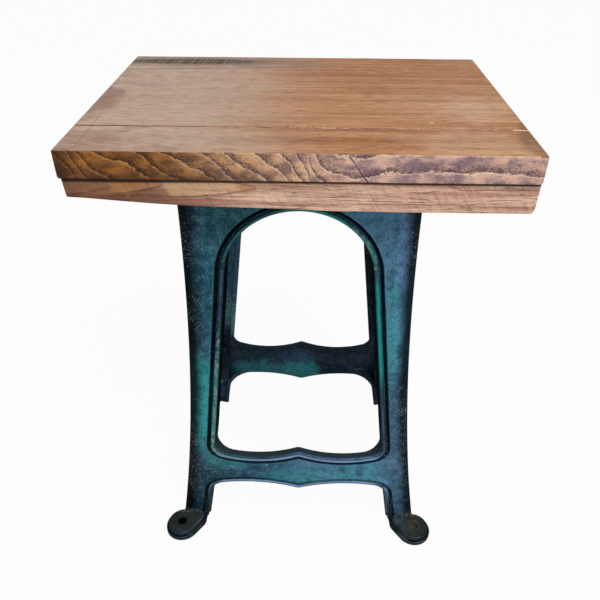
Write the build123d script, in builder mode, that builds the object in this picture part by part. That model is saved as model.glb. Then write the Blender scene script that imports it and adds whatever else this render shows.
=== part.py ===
"""Sewing table: a top of two plank layers on a cast-iron stand.

The stand is two arched frames, front and rear, tied by low side stretchers and by side rails under the top.
Millimetres. The origin is on the floor under the middle of the top, +Z is up and the front faces -Y.
"""

import os
from math import cos, radians, sin, tan

from build123d import *

# Overall sizes of the table
top_length = 560
top_depth = 416
table_height = 740

# Upper plank layer
top_board_thickness = 34.5
front_board_width = 83
rear_board_width_left = 81
rear_board_width_right = 40
top_corner_radius = 5
top_arris = 1.5

# Lower plank layer, set in a little from the upper one
under_board_thickness = 38.5
under_inset = 3
under_end_undercut = 5
under_front_width = 135
under_rear_width = 137
under_arris = 1.5
wane_rise = 14
wane_reach_along = 255
wane_reach_back = 38

# Cast frames, front and rear
frame_face_y = 155
frame_depth = 34
frame_top_half_width = 159
frame_foot_half_width = 215
foot_width = 47
web_thickness = 8
wall_thickness = 8
leg_corner_radius = 15

# Arched opening of a frame; its lower corners stand in from the outside of the feet
crown_margin = 27
arch_radius = 104
opening_lean = 5.5
opening_corner_inset = 70
opening_corner_radius = 22

# Wavy stretcher at the foot of the opening, and the ankles where its lower edge runs into the legs
stretcher_height = 131
stretcher_waist = 62
stretcher_point = 15
stretcher_point_radius = 9
stretcher_depth = 16
stretcher_taper_run = 40
ankle_flare = 14
ankle_radius = 28

# Bead and groove round the opening and along the frame's lower edge
bead_width = 7
bead_chamfer = 2.5
groove_width = 7
groove_depth = 4

# Lug feet: hole and heel stand before the frame's face, the hole a little in from the outside of the foot
lug_radius = 30
lug_thickness = 16
lug_base_thickness = 7
lug_step = 3.5
lug_draft = 12
lug_hole_diameter = 15
lug_hole_reach = 23
lug_hole_inset = 3
heel_radius = 21
heel_reach = 10

# The hollow legs slope off behind, down to the heels of the lug feet
foot_slope_height = 60
foot_sole_depth = 11

# Side stretchers and side rails, set in from the outside of the frames
tie_web = 8
tie_flange_thickness = 8
tie_flange_corner = 5
tie_seat_margin = 3
side_stretcher_inset = 41
side_stretcher_end = 42
side_stretcher_waist = 34
side_stretcher_point = 9
side_flange_width = 26
side_flange_height = 84
side_bolt_spacing = 62
rail_inset = 25
rail_end_height = 45
rail_rise = 18
rail_lip_width = 26
rail_flange_width = 34
rail_flange_height = 36
rail_bolt_inset = 17
rail_bolt_drop = 31

# Hex bolts of the ties
bolt_diameter = 8
bolt_grip = 20
bolt_end_gap = 2
bolt_head_flats = 13
bolt_head_height = 5.3
shank_clearance = 0.2

# Coach screws into the planks
coach_diameter = 6
coach_reach = 28
coach_head_flats = 10
coach_head_height = 4
frame_coach_x = 84
rail_coach_y = 50
rail_coach_inset = 17

# How near two places have to be to count as one
same_place = 0.01

# Levels and places worked out from the sizes above
half_length = top_length / 2
half_depth = top_depth / 2
layer_joint_z = table_height - top_board_thickness
stand_top = layer_joint_z - under_board_thickness
frame_back_y = frame_face_y - frame_depth
flange_face_y = frame_back_y - tie_flange_thickness
crown_z = stand_top - crown_margin
arch_centre_z = crown_z - arch_radius
opening_corner_x = frame_foot_half_width - opening_corner_inset
stretcher_dip_z = stretcher_height + stretcher_waist / 2
stretcher_peak_z = stretcher_dip_z + stretcher_point
stretcher_crest_z = stretcher_height - stretcher_waist / 2
stretcher_low_z = stretcher_crest_z - stretcher_point
stretcher_back_y = frame_face_y - stretcher_depth
foot_inner_x = frame_foot_half_width - foot_width
ankle_x = foot_inner_x - ankle_flare
ankle_z = (stretcher_low_z + stretcher_crest_z) / 2
lug_hole_x = frame_foot_half_width - lug_hole_inset
lug_hole_y = frame_face_y + lug_hole_reach
heel_x = frame_foot_half_width - foot_width / 2
heel_y = frame_face_y + heel_reach
foot_back_y = frame_face_y - foot_sole_depth
side_stretcher_x = frame_foot_half_width - side_stretcher_inset
rail_x = frame_top_half_width - rail_inset
rail_outer_x = rail_x + tie_web / 2
rail_bolt_x = rail_x - rail_bolt_inset
rail_bolt_z = stand_top - rail_bolt_drop
rail_coach_x = rail_x - rail_coach_inset
lip_underside = stand_top - wall_thickness
coach_y = (frame_face_y + frame_back_y) / 2
front_seam_y = front_board_width - half_depth
rear_seam_left_y = half_depth - rear_board_width_left
rear_seam_right_y = half_depth - rear_board_width_right
under_half_length = half_length - under_inset
under_half_depth = half_depth - under_inset
under_foot_half_length = under_half_length - under_board_thickness * tan(radians(under_end_undercut))
under_front_seam_y = under_front_width - under_half_depth
under_rear_seam_y = under_half_depth - under_rear_width

# Where each fastener stands
foot_places = [(side * lug_hole_x, -lug_hole_y) for side in (1, -1)]
frame_coach_places = [(side * frame_coach_x, end * coach_y) for side in (1, -1) for end in (1, -1)]
rail_coach_places = [(side * rail_coach_x, end * rail_coach_y) for side in (1, -1) for end in (1, -1)]
stretcher_bolt_places = [(side * side_stretcher_x, stretcher_height + level * side_bolt_spacing / 2)
                         for side in (1, -1) for level in (1, -1)]
rail_bolt_places = [(side * rail_bolt_x, rail_bolt_z) for side in (1, -1)]

# Blocks behind the legs that the ties' ends are bolted to: lower level, upper level and inner side
seat_blocks = [
    (
        stretcher_height - side_flange_height / 2 - tie_seat_margin,
        stretcher_height + side_flange_height / 2 + tie_seat_margin,
        side_stretcher_x - side_flange_width / 2 - tie_seat_margin,
    ),
    (
        rail_bolt_z - rail_flange_height / 2 - tie_seat_margin,
        stand_top,
        rail_outer_x - rail_flange_width - tie_seat_margin,
    ),
]

os.makedirs("parts", exist_ok=True)


def save(piece, name):
    """Label a finished piece and write its file."""
    piece.label = name
    export_step(piece, f"parts/{name}.step")


def at_level(corners, level):
    """Corners of a sketch that lie at one level."""
    return corners.filter_by(lambda corner: abs(corner.Y - level) < same_place)


def in_middle(corners):
    """Corners of a sketch that lie on its upright middle line."""
    return corners.filter_by(lambda corner: abs(corner.X) < same_place)


def moved_outline(outline, distance):
    """Outline moved out (or in, below zero) by a distance and redrawn as plain lines and arcs."""
    with BuildSketch() as moved:
        add(outline)
        offset(amount=distance, kind=Kind.ARC, mode=Mode.REPLACE)
    with BuildSketch() as redrawn:
        with BuildLine():
            for edge in moved.edges():
                if edge.geom_type == GeomType.LINE or edge.length < same_place:
                    Line(edge @ 0, edge @ 1)
                else:
                    ThreePointArc(edge @ 0, edge @ 0.5, edge @ 1)
        make_face()
    return redrawn.sketch


# Outline of a frame in its own plane: straight top, legs that sweep out to the feet, wavy lower edge
with BuildSketch() as frame_outline:
    with BuildLine():
        Line((-frame_top_half_width, stand_top), (frame_top_half_width, stand_top))
        for side in (1, -1):
            TangentArc(
                (side * frame_top_half_width, stand_top), (side * frame_foot_half_width, 0), tangent=(0, -1)
            )
            Polyline((side * frame_foot_half_width, 0), (side * foot_inner_x, 0), (side * ankle_x, ankle_z))
            ThreePointArc(
                (side * ankle_x, ankle_z), (side * ankle_x / 2, stretcher_crest_z), (0, stretcher_low_z)
            )
    make_face()
    fillet(at_level(in_middle(frame_outline.vertices()), stretcher_low_z), radius=stretcher_point_radius)
    fillet(at_level(frame_outline.vertices(), ankle_z), radius=ankle_radius)

# Opening of a frame: a round arch, sides that lean out and the stretcher's wavy upper edge
lean = radians(opening_lean)
spring_x = arch_radius * cos(lean)
spring_z = arch_centre_z + arch_radius * sin(lean)
with BuildSketch() as frame_opening:
    with BuildLine():
        CenterArc((0, arch_centre_z), arch_radius, opening_lean, 180 - 2 * opening_lean)
        for side in (1, -1):
            TangentArc(
                (side * spring_x, spring_z),
                (side * opening_corner_x, stretcher_peak_z),
                tangent=(side * sin(lean), -cos(lean)),
            )
            ThreePointArc(
                (side * opening_corner_x, stretcher_peak_z),
                (side * opening_corner_x / 2, stretcher_dip_z),
                (0, stretcher_peak_z),
            )
    make_face()
    fillet(at_level(in_middle(frame_opening.vertices()), stretcher_peak_z), radius=stretcher_point_radius)
    fillet(at_level(frame_opening.vertices(), stretcher_peak_z), radius=opening_corner_radius)

# Space between the legs under the stretcher, which the lower bead follows
with BuildSketch() as foot_gap:
    with Locations((0, stretcher_height / 2)):
        Rectangle(2 * ankle_x + foot_width, stretcher_height)
    add(frame_outline.sketch, mode=Mode.SUBTRACT)

# Plans of the lug feet's two steps: a round tongue that points outwards from the heel of the leg
lug_plans = []
for set_in in (0, lug_step):
    with BuildSketch() as lug_plan:
        for side in (1, -1):
            with BuildSketch(mode=Mode.PRIVATE) as one_lug:
                with Locations((side * lug_hole_x, -lug_hole_y)):
                    Circle(lug_radius - set_in)
                with Locations((side * heel_x, -heel_y)):
                    Circle(heel_radius - set_in)
                make_hull()
            add(one_lug.sketch)
    lug_plans.append(lug_plan.sketch)

# Wedge of room behind the stretcher, where the casting is shallower than at the legs
with BuildPart() as shallow_zone:
    with BuildSketch(Plane.YZ):
        with BuildLine():
            Polyline(
                (-frame_back_y, stretcher_low_z - stretcher_taper_run),
                (-stretcher_back_y, stretcher_low_z),
                (-stretcher_back_y, stretcher_peak_z),
                (-frame_back_y, stretcher_peak_z + stretcher_taper_run),
                close=True,
            )
        make_face()
    extrude(amount=frame_foot_half_width, both=True)
    with BuildSketch(Plane.XY):
        with BuildLine():
            Polyline(
                (-ankle_x - wall_thickness, -frame_back_y),
                (stretcher_taper_run - ankle_x, -stretcher_back_y),
                (ankle_x - stretcher_taper_run, -stretcher_back_y),
                (ankle_x + wall_thickness, -frame_back_y),
                close=True,
            )
        make_face()
    extrude(amount=stand_top, mode=Mode.INTERSECT)

# Wedge of room behind the feet, where the legs slope off
with BuildPart() as foot_slope:
    with BuildSketch(Plane.YZ):
        with BuildLine():
            Polyline((-frame_back_y, 0), (-frame_back_y, foot_slope_height), (-foot_back_y, 0), close=True)
        make_face()
    extrude(amount=frame_foot_half_width, both=True)

front_plane = Plane.XZ.offset(frame_face_y)
back_plane = Plane.XZ.offset(frame_back_y)

with BuildPart() as front_frame:
    # Solid frame with rounded outer corners
    with BuildSketch(front_plane):
        add(frame_outline.sketch)
        add(frame_opening.sketch, mode=Mode.SUBTRACT)
    extrude(amount=-frame_depth)
    outer_edges = front_frame.edges().filter_by(lambda edge: edge.length > stand_top)
    fillet(outer_edges.group_by(Axis.Y)[0], radius=leg_corner_radius)
    # Hollow back, which leaves a web and a wall round every edge
    with BuildSketch(back_plane):
        add(moved_outline(frame_outline.sketch, -wall_thickness))
        add(moved_outline(frame_opening.sketch, wall_thickness), mode=Mode.SUBTRACT)
    extrude(amount=frame_depth - web_thickness, mode=Mode.SUBTRACT)
    add(shallow_zone.part, mode=Mode.SUBTRACT)
    add(foot_slope.part, mode=Mode.SUBTRACT)
    # Groove round the opening and along the lower edge, which leaves a raised bead at the edge
    for space in (frame_opening, foot_gap):
        with BuildSketch(front_plane):
            add(moved_outline(space.sketch, bead_width + groove_width))
            add(moved_outline(space.sketch, bead_width), mode=Mode.SUBTRACT)
        extrude(amount=-groove_depth, mode=Mode.SUBTRACT)
    front_faces = front_frame.faces().filter_by(Axis.Y).group_by(Axis.Y)[0]
    bead_edges = ShapeList(edge for face in front_faces.sort_by(SortBy.AREA)[:-1] for edge in face.edges())
    chamfer(bead_edges.filter_by(lambda edge: edge.center().Z > same_place), length=bead_chamfer)
    # Blocks in the hollow legs, with flat faces for the ends of the side ties
    for low_z, high_z, inner_x in seat_blocks:
        with BuildSketch(back_plane):
            for side in (1, -1):
                with Locations((side * (inner_x + frame_foot_half_width) / 2, (low_z + high_z) / 2)):
                    Rectangle(frame_foot_half_width - inner_x, high_z - low_z)
            add(frame_outline.sketch, mode=Mode.INTERSECT)
        extrude(amount=frame_depth - web_thickness)
    # Stepped lug feet with a hole for a floor bolt
    with BuildSketch():
        add(lug_plans[0])
    extrude(amount=lug_base_thickness)
    with BuildSketch(Plane.XY.offset(lug_base_thickness)):
        add(lug_plans[1])
    extrude(amount=lug_thickness - lug_base_thickness, taper=lug_draft)
    with Locations(*[(x, y, lug_thickness) for x, y in foot_places]):
        Hole(lug_hole_diameter / 2, depth=lug_thickness)
    # Blind holes for the ties' bolts and clear holes for the coach screws
    with BuildSketch(back_plane):
        with Locations(*(stretcher_bolt_places + rail_bolt_places)):
            Circle(bolt_diameter / 2 + shank_clearance)
    extrude(amount=bolt_grip, mode=Mode.SUBTRACT)
    with Locations(*[(x, y, stand_top) for x, y in frame_coach_places if y < 0]):
        Hole(coach_diameter / 2 + shank_clearance, depth=wall_thickness)
save(front_frame.part, "front_frame")

with BuildPart() as rear_frame:
    add(front_frame.part, rotation=(0, 0, 180))
save(rear_frame.part, "rear_frame")


def end_plane(end):
    """Plane of the tie flanges' inner faces at the front (1) or rear (-1) frame, facing into the table."""
    return Plane(origin=(0, -end * flange_face_y, 0), x_dir=(-end, 0, 0), z_dir=(0, end, 0))


def end_flange(end, flange_x, flange_z, width, height, bolt_places):
    """Drilled face of a tie's end flange at the front (1) or rear (-1) frame."""
    with BuildSketch(end_plane(end)) as flange:
        with Locations((-end * flange_x, flange_z)):
            Rectangle(width, height)
        chamfer(flange.vertices(), length=tie_flange_corner)
        with Locations(*[(-end * x, z) for x, z in bolt_places if x > 0]):
            Circle(bolt_diameter / 2 + shank_clearance, mode=Mode.SUBTRACT)
    return flange.sketch


# Wavy side stretcher, seen from the side: both edges sweep in from the ends and out to a middle point
side_dip = side_stretcher_waist / 2
with BuildSketch() as side_outline:
    with BuildLine():
        for end in (1, -1):
            Line(
                (end * flange_face_y, stretcher_height - side_stretcher_end / 2),
                (end * flange_face_y, stretcher_height + side_stretcher_end / 2),
            )
            for way in (1, -1):
                ThreePointArc(
                    (end * flange_face_y, stretcher_height + way * side_stretcher_end / 2),
                    (end * flange_face_y / 2, stretcher_height + way * side_dip),
                    (0, stretcher_height + way * (side_dip + side_stretcher_point)),
                )
    make_face()
    fillet(in_middle(side_outline.vertices()), radius=stretcher_point_radius)

with BuildPart() as right_side_stretcher:
    outer_face = Plane.YZ.offset(side_stretcher_x + tie_web / 2)
    with BuildSketch(outer_face):
        add(side_outline.sketch)
    extrude(amount=-tie_web)
    with BuildSketch(outer_face):
        add(moved_outline(side_outline.sketch, -bead_width))
        add(moved_outline(side_outline.sketch, -bead_width - groove_width), mode=Mode.SUBTRACT)
    extrude(amount=-groove_depth, mode=Mode.SUBTRACT)
    for end in (1, -1):
        flange = end_flange(
            end,
            side_stretcher_x,
            stretcher_height,
            side_flange_width,
            side_flange_height,
            stretcher_bolt_places,
        )
        extrude(flange, amount=-tie_flange_thickness)
save(right_side_stretcher.part, "right_side_stretcher")

with BuildPart() as left_side_stretcher:
    add(right_side_stretcher.part, rotation=(0, 0, 180))
save(left_side_stretcher.part, "left_side_stretcher")

with BuildPart() as right_side_rail:
    # Upright web with a lower edge that rises to the middle
    with BuildSketch(Plane.YZ.offset(rail_x - tie_web / 2)):
        with BuildLine():
            Polyline(
                (-flange_face_y, stand_top - rail_end_height),
                (-flange_face_y, stand_top),
                (flange_face_y, stand_top),
                (flange_face_y, stand_top - rail_end_height),
            )
            ThreePointArc(
                (flange_face_y, stand_top - rail_end_height),
                (0, stand_top - rail_end_height + rail_rise),
                (-flange_face_y, stand_top - rail_end_height),
            )
        make_face()
    extrude(amount=tie_web)
    # Lip under the planks, with holes for coach screws
    lip_width = rail_lip_width + tie_web
    with BuildSketch(Plane.XY.offset(lip_underside)):
        with Locations((rail_outer_x - lip_width / 2, 0)):
            Rectangle(lip_width, 2 * flange_face_y)
    extrude(amount=wall_thickness)
    with Locations(*[(x, y, stand_top) for x, y in rail_coach_places if x > 0]):
        Hole(coach_diameter / 2 + shank_clearance, depth=wall_thickness)
    # End flanges on the inner side of the web
    for end in (1, -1):
        flange = end_flange(
            end,
            rail_outer_x - rail_flange_width / 2,
            rail_bolt_z,
            rail_flange_width,
            rail_flange_height,
            rail_bolt_places,
        )
        extrude(flange, amount=-tie_flange_thickness)
save(right_side_rail.part, "right_side_rail")

with BuildPart() as left_side_rail:
    add(right_side_rail.part, rotation=(0, 0, 180))
save(left_side_rail.part, "left_side_rail")

# Hex bolts of the ties
bolt_length = tie_flange_thickness + bolt_grip - bolt_end_gap
for name, places in (("stretcher", stretcher_bolt_places), ("rail", rail_bolt_places)):
    with BuildPart() as bolts:
        for end in (1, -1):
            with BuildSketch(end_plane(end)):
                with Locations(*places):
                    RegularPolygon(bolt_head_flats / 2, 6, major_radius=False)
            extrude(amount=bolt_head_height)
            with BuildSketch(end_plane(end)):
                with Locations(*places):
                    Circle(bolt_diameter / 2)
            extrude(amount=-bolt_length)
    save(bolts.part, f"{name}_bolts")


def coach_shank(extra, mode):
    """Shank of a coach screw, standing on the underside of its lip, widened and lengthened by extra."""
    Cylinder(
        coach_diameter / 2 + extra,
        wall_thickness + coach_reach + extra,
        align=(Align.CENTER, Align.CENTER, Align.MIN),
        mode=mode,
    )


# Coach screws that hold the planks down on the frames and on the rails' lips
for name, places in (("frame", frame_coach_places), ("rail", rail_coach_places)):
    with BuildPart() as screws:
        with BuildSketch(Plane.XY.offset(lip_underside)):
            with Locations(*places):
                RegularPolygon(coach_head_flats / 2, 6, major_radius=False)
        extrude(amount=-coach_head_height)
        with Locations(*[(x, y, lip_underside) for x, y in places]):
            coach_shank(0, Mode.ADD)
    save(screws.part, f"{name}_coach_screws")


def outer_edges_of(plank, seams):
    """Edges of a plank, apart from those that lie in the faces of its seams with other planks."""
    seam_edges = [edge for face in seams for edge in face.edges()]
    return plank.edges().filter_by(
        lambda edge: all((edge.center() - other.center()).length > same_place for other in seam_edges)
    )


# Planks of the upper layer, from their corners seen from above
top_planks = {
    "top_board_front": (-half_depth, -half_depth, front_seam_y, front_seam_y),
    "top_board_middle": (front_seam_y, front_seam_y, rear_seam_right_y, rear_seam_left_y),
    "top_board_rear": (rear_seam_left_y, rear_seam_right_y, half_depth, half_depth),
}
for name, (front_left, front_right, back_right, back_left) in top_planks.items():
    with BuildPart() as plank:
        with BuildSketch(Plane.XY.offset(layer_joint_z)):
            with BuildLine():
                Polyline(
                    (-half_length, front_left),
                    (half_length, front_right),
                    (half_length, back_right),
                    (-half_length, back_left),
                    close=True,
                )
            make_face()
        extrude(amount=top_board_thickness)
        outside = plank.edges().filter_by(Axis.Z).filter_by(
            lambda edge: abs(abs(edge.center().Y) - half_depth) < same_place
        )
        if outside:
            fillet(outside, radius=top_corner_radius)
        seams = plank.faces().filter_by(
            lambda face: abs(face.center().X) < same_place
            and abs(face.normal_at().Z) < same_place
            and abs(abs(face.center().Y) - half_depth) > same_place
        )
        chamfer(outer_edges_of(plank, seams).filter_by(Axis.Z, reverse=True), length=top_arris)
    save(plank.part, name)

# Planks of the lower layer, with ends that slope in towards the floor
under_planks = {
    "under_board_front": (-under_half_depth, under_front_seam_y),
    "under_board_middle": (under_front_seam_y, under_rear_seam_y),
    "under_board_rear": (under_rear_seam_y, under_half_depth),
}
coach_spots = [(x, y, lip_underside) for x, y in frame_coach_places + rail_coach_places]
wane_corner = Vector(-under_foot_half_length, -under_half_depth, stand_top)
wane_top = wane_corner + Vector(0, 0, wane_rise)
wane_along = wane_corner + Vector(wane_reach_along, 0, 0)
wane_back = wane_corner + Vector(0, wane_reach_back, 0)
wane_plane = Plane(origin=wane_top, z_dir=(wane_along - wane_top).cross(wane_back - wane_top))
for name, (front_y, rear_y) in under_planks.items():
    with BuildPart() as plank:
        with BuildSketch(Plane.XZ.offset(-front_y)):
            with BuildLine():
                Polyline(
                    (-under_half_length, layer_joint_z),
                    (under_half_length, layer_joint_z),
                    (under_foot_half_length, stand_top),
                    (-under_foot_half_length, stand_top),
                    close=True,
                )
            make_face()
        extrude(amount=front_y - rear_y)
        seams = plank.faces().filter_by(Axis.Y).filter_by(
            lambda face: abs(abs(face.center().Y) - under_half_depth) > same_place
        )
        chamfer(outer_edges_of(plank, seams), length=under_arris)
        with Locations(*coach_spots):
            coach_shank(shank_clearance, Mode.SUBTRACT)
        if name == "under_board_front":
            split(bisect_by=wane_plane, keep=Keep.TOP)
    save(plank.part, name)
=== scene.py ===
import bmesh
import bpy
import numpy as np
from mathutils import Matrix, Vector
from mathutils.geometry import delaunay_2d_cdt


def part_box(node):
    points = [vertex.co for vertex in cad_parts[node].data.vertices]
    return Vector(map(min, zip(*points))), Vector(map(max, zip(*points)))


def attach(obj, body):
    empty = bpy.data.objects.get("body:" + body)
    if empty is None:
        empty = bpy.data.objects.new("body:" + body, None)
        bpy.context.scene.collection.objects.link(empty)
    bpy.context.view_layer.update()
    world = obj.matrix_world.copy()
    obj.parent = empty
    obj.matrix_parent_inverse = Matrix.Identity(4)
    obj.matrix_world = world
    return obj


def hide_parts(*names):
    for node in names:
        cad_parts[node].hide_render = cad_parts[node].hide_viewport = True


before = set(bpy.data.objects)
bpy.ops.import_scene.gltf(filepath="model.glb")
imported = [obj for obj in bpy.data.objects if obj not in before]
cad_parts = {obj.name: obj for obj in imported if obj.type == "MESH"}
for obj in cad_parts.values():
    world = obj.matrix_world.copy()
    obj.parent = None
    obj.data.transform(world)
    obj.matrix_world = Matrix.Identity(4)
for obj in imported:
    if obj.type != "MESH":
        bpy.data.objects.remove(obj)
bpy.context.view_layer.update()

# Cast frames, front and rear
# Two equal iron castings, hollow behind, with a beaded arch, a wavy stretcher and stepped lug feet.
# They were cast in sand and painted, and stand with their hollow backs facing each other.
MM = 0.001
stand_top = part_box("front_frame")[1].z / MM
frame_face_y = 155
frame_depth = 34
stretcher_depth = 16
web_thickness = 8
wall_thickness = 8
rim_round = 1.2
wall_draft = 3
cove_radius = 6
frame_top_half_width = 159
frame_foot_half_width = 215
foot_inner_x = 168
leg_corner_radius = 15
crown_z = 640
arch_radius = 104
arch_lean = np.radians(5.5)
opening_corner = np.array([145.0, 177.0])
opening_dip = np.array([72.5, 162.0])
opening_corner_radius = 22
ankle = np.array([154.0, 92.5])
stretcher_crest = np.array([77.0, 100.0])
stretcher_tip_z = 85
ankle_radius = 28
stretcher_point_radius = 9
bead_width = 7
groove_width = 7
groove_depth = 5
flat_beside_groove = 1.2
# The crest leans set where across each bead its crest line lies, and with it the painted highlight.
upper_crest_lean = 0.8
lower_crest_lean = 1.9
path_step = 3.0
taper_start_x = 162
taper_length_x = 48
taper_start_z = 217
taper_length_z = 40
foot_slope_height = 60
foot_sole_depth = 11
casting_masks = ("crest", "recess", "corner", "wall", "arris")


def unit(vectors):
    """Each vector divided by its length."""
    return vectors / np.linalg.norm(vectors, axis=-1, keepdims=True)


def arc_points(centre, radius, start, end):
    """Points on a circle from the direction of one point to that of another, the short way round."""
    first = np.arctan2(*(start - centre)[::-1])
    turn = np.arctan2(*(end - centre)[::-1]) - first
    turn = (turn + np.pi) % (2 * np.pi) - np.pi
    count = max(int(abs(turn) * radius / path_step), 6) + 1
    angle = first + turn * np.linspace(0, 1, count)
    return centre + radius * np.stack([np.cos(angle), np.sin(angle)], axis=1)


def line_points(start, end):
    """Points on a straight line, without its last one."""
    count = max(int(np.linalg.norm(end - start) / path_step), 2)
    return start + (end - start) * np.linspace(0, 1, count, endpoint=False)[:, None]


def circle_through(a, b, c):
    """Centre and radius of the circle through three points: the point as far from a as from b and c."""
    sides = 2 * np.stack([b - a, c - a])
    centre = np.linalg.solve(sides, np.array([b @ b - a @ a, c @ c - a @ a]))
    return centre, np.linalg.norm(centre - a)


def wavy_edge(side_start, corner, middle, tip_z, corner_radius, point_radius):
    """Half of a wavy edge in the plane of a frame: straight side, round corner, hollow sweep, round point.

    The sweep is the circle through the corner, the middle and the tip on the frame's middle line. The
    corner circle touches the side and the sweep from within, the point's circle touches the sweep from
    without.
    """
    tip = np.array([0.0, tip_z])
    centre, radius = circle_through(corner, middle, tip)
    way = np.sign(centre[1] - middle[1])
    along = unit(corner - side_start)
    inward = np.array([along[1], -along[0]]) * way
    base = corner + corner_radius * inward - centre
    along_base = base @ along
    slide = np.sqrt(along_base ** 2 - base @ base + (radius - corner_radius) ** 2) - along_base
    corner_centre = corner + corner_radius * inward + slide * along
    on_side = corner_centre - corner_radius * inward
    on_sweep = centre + unit(corner_centre - centre) * radius
    tip_drop = np.sqrt((radius + point_radius) ** 2 - centre[0] ** 2)
    tip_centre = np.array([0.0, centre[1] - way * tip_drop])
    at_tip = centre + unit(tip_centre - centre) * radius
    top = tip_centre + np.array([0.0, way * point_radius])
    points = np.concatenate([
        line_points(side_start, on_side),
        arc_points(corner_centre, corner_radius, on_side, on_sweep)[:-1],
        arc_points(centre, radius, on_sweep, at_tip)[:-1],
        arc_points(tip_centre, point_radius, at_tip, top),
    ])
    return points, (centre, radius, way)


def moved_in(path, hand, distances, sweep=None):
    """Path moved into the metal, as rows of points: point plus each distance times the edge's normal.

    Where the moved halves of a wavy edge would cross the middle line they stop where they meet.
    """
    travel = unit(np.gradient(path, axis=0))
    normal = hand * np.stack([-travel[:, 1], travel[:, 0]], axis=1)
    rows = path[:, None, :] + distances[None, :, None] * normal[:, None, :]
    if sweep:
        centre, radius, way = sweep
        meet_z = centre[1] - way * np.sqrt((radius + distances) ** 2 - centre[0] ** 2)
        lost = (rows[..., 0] < 0) & (rows[..., 1] < arch_centre_z)
        rows[..., 1] = np.where(lost, meet_z[None, :], rows[..., 1])
        rows[..., 0] = np.where(lost, 0.0, rows[..., 0])
    return rows


def edge_profile(bead, crest_lean=upper_crest_lean):
    """Section of the metal at an edge, from the hollow back over the rim and the wall to the flat front.

    Columns: distance in from the edge, depth behind the front face, how far the depth follows the rim's
    depth, and the casting's masks: crest, recess, outer corner, inner wall and the arris beside the
    groove. The material paints a highlight and rubbed wear on the crest, a highlight on the arris and
    shade in the recess, on the outer corner and on the inner wall. A larger lean moves the crest's line,
    and with it the painted highlight, over to the groove's side of the bead.
    """
    quarter = np.linspace(0, np.pi / 2, 7)[:, None]
    cove = np.hstack([
        wall_thickness + cove_radius * (1 - np.sin(quarter)),
        web_thickness + cove_radius * (1 - np.cos(quarter)),
    ])
    rim = np.array([
        [wall_thickness, frame_depth - rim_round],
        [wall_thickness - rim_round, frame_depth],
        [rim_round, frame_depth],
        [0, frame_depth - rim_round],
    ])
    back = np.vstack([cove, rim])
    if bead:
        half = np.linspace(0, np.pi, 13)[:, None]
        share = np.linspace(0, 1, 10)[1:, None]
        radius = bead_width / 2
        hollow = np.sin(np.pi * share ** 0.8)
        floor = np.maximum(groove_depth * hollow ** 0.8 + radius * (1 - share) ** 2.5, 0)
        front = np.vstack([
            [[0, bead_width]],
            np.hstack([radius * (1 - np.cos(half)), radius * (1 - np.sin(half))]),
            np.hstack([bead_width + groove_width * share, floor]),
            [[bead_width + groove_width + flat_beside_groove, 0]],
        ])
        back[:, 0] -= wall_draft * np.clip((back[:, 1] - bead_width) / (frame_depth - bead_width), 0, 1)
    else:
        turn = np.linspace(0, np.pi / 2, 11)[:, None]
        front = leg_corner_radius * np.hstack([1 - np.cos(turn), 1 - np.sin(turn)])
    masks = np.zeros((len(back) + len(front), len(casting_masks)))
    front_masks = masks[len(back):]
    if bead:
        groove_start = 1 + len(half)
        front_masks[1:groove_start, 0] = np.sin(np.pi * (half[:, 0] / np.pi) ** crest_lean) ** 2
        front_masks[groove_start:-1, 1] = hollow[:, 0]
        masks[len(cove):len(back) + 1, 3] = 1
        front_masks[-3:-1, 4] = (0.5, 1)
    else:
        front_masks[:, 2] = 1 - (turn[:, 0] / (np.pi / 2)) ** 2
    follows = np.zeros((len(masks), 1))
    follows[len(cove):len(back)] = 1
    return np.hstack([np.vstack([back, front]), follows, masks])


def rim_depth(points):
    """Depth of the casting at an edge: full at the legs, less along the stretcher and behind the feet."""
    across = np.clip((taper_start_x - np.abs(points[:, 0])) / taper_length_x, 0, 1)
    down = np.clip((taper_start_z - points[:, 1]) / taper_length_z, 0, 1)
    share = np.minimum(across, down)
    share = share * share * (3 - 2 * share)
    foot = np.clip(1 - points[:, 1] / foot_slope_height, 0, 1)
    return frame_depth - (frame_depth - stretcher_depth) * share - (frame_depth - foot_sole_depth) * foot


def swept(rows, profile, depth):
    """Points of a profile carried along rows of moved paths, front of the frame at y = -frame_face_y."""
    on_rim = profile[None, :, 1] + depth[:, None] - frame_depth
    off_rim = np.minimum(profile[None, :, 1], depth[:, None] - rim_round)
    deep = np.where(profile[None, :, 2] > 0, on_rim, off_rim)
    return np.stack([rows[..., 0], deep - frame_face_y, rows[..., 1]], axis=2)


def grid_faces(rows, columns, closed_rows=False, closed_columns=False):
    """Corner numbers of the four-sided faces of a grid of points."""
    index = np.arange(rows * columns).reshape(rows, columns)
    if closed_rows:
        index = np.vstack([index, index[:1]])
    if closed_columns:
        index = np.hstack([index, index[:, :1]])
    corners = [index[:-1, :-1], index[1:, :-1], index[1:, 1:], index[:-1, 1:]]
    return np.stack(corners, axis=-1).reshape(-1, 4)


def both_halves(half):
    """A right half joined to its mirror image, in one run from right to left."""
    mirrored = half[::-1].copy()
    mirrored[..., 0] *= -1
    return np.concatenate([half, mirrored[1:]])


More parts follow.
